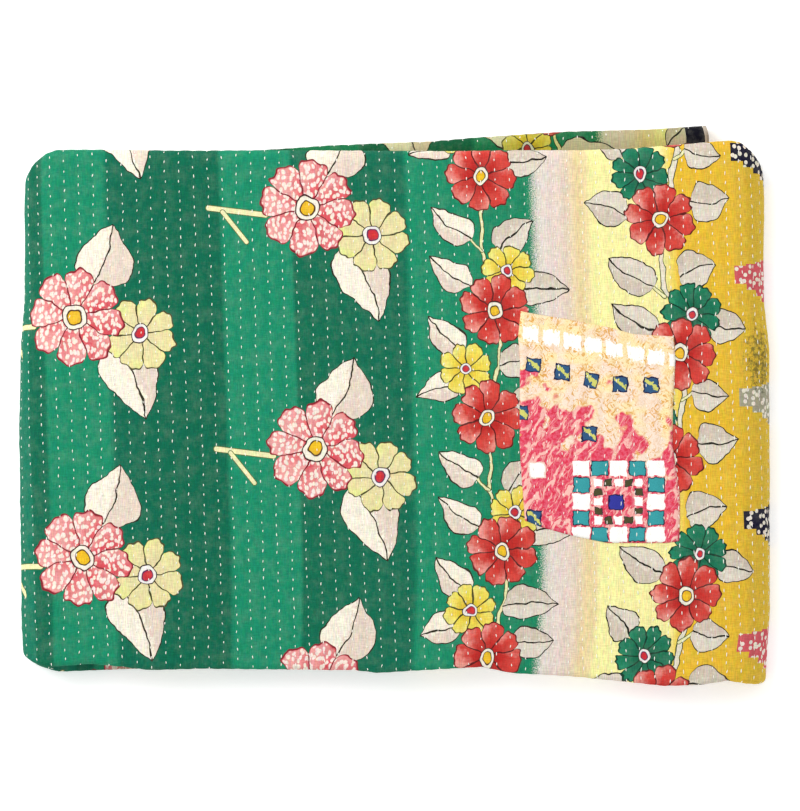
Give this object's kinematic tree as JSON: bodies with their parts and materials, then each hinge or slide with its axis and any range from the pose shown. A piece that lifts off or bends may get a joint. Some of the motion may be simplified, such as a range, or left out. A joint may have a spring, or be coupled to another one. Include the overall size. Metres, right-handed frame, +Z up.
{
  "type": "folded throw blanket",
  "caption": "Hand-quilted patchwork cotton throw in a floral border print, folded into a flat rectangular stack with a sewn-on patch.",
  "frame": {"origin": "middle of the bounding box, on the surface that the folded throw lies on", "axes": "+X to the right along the long side, away from the rolled fold; +Y to the far edge, where the folds are; +Z up"},
  "size_m": [0.7526, 0.5606, 0.0483],
  "materials": {
    "quilted_cotton": "matt printed cotton with white running stitches",
    "patch_cotton": "matt printed cotton"
  },
  "bodies": {
    "root": {"folded_throw": "quilted_cotton", "sewn_patch": "patch_cotton"}
  },
  "joints": []
}
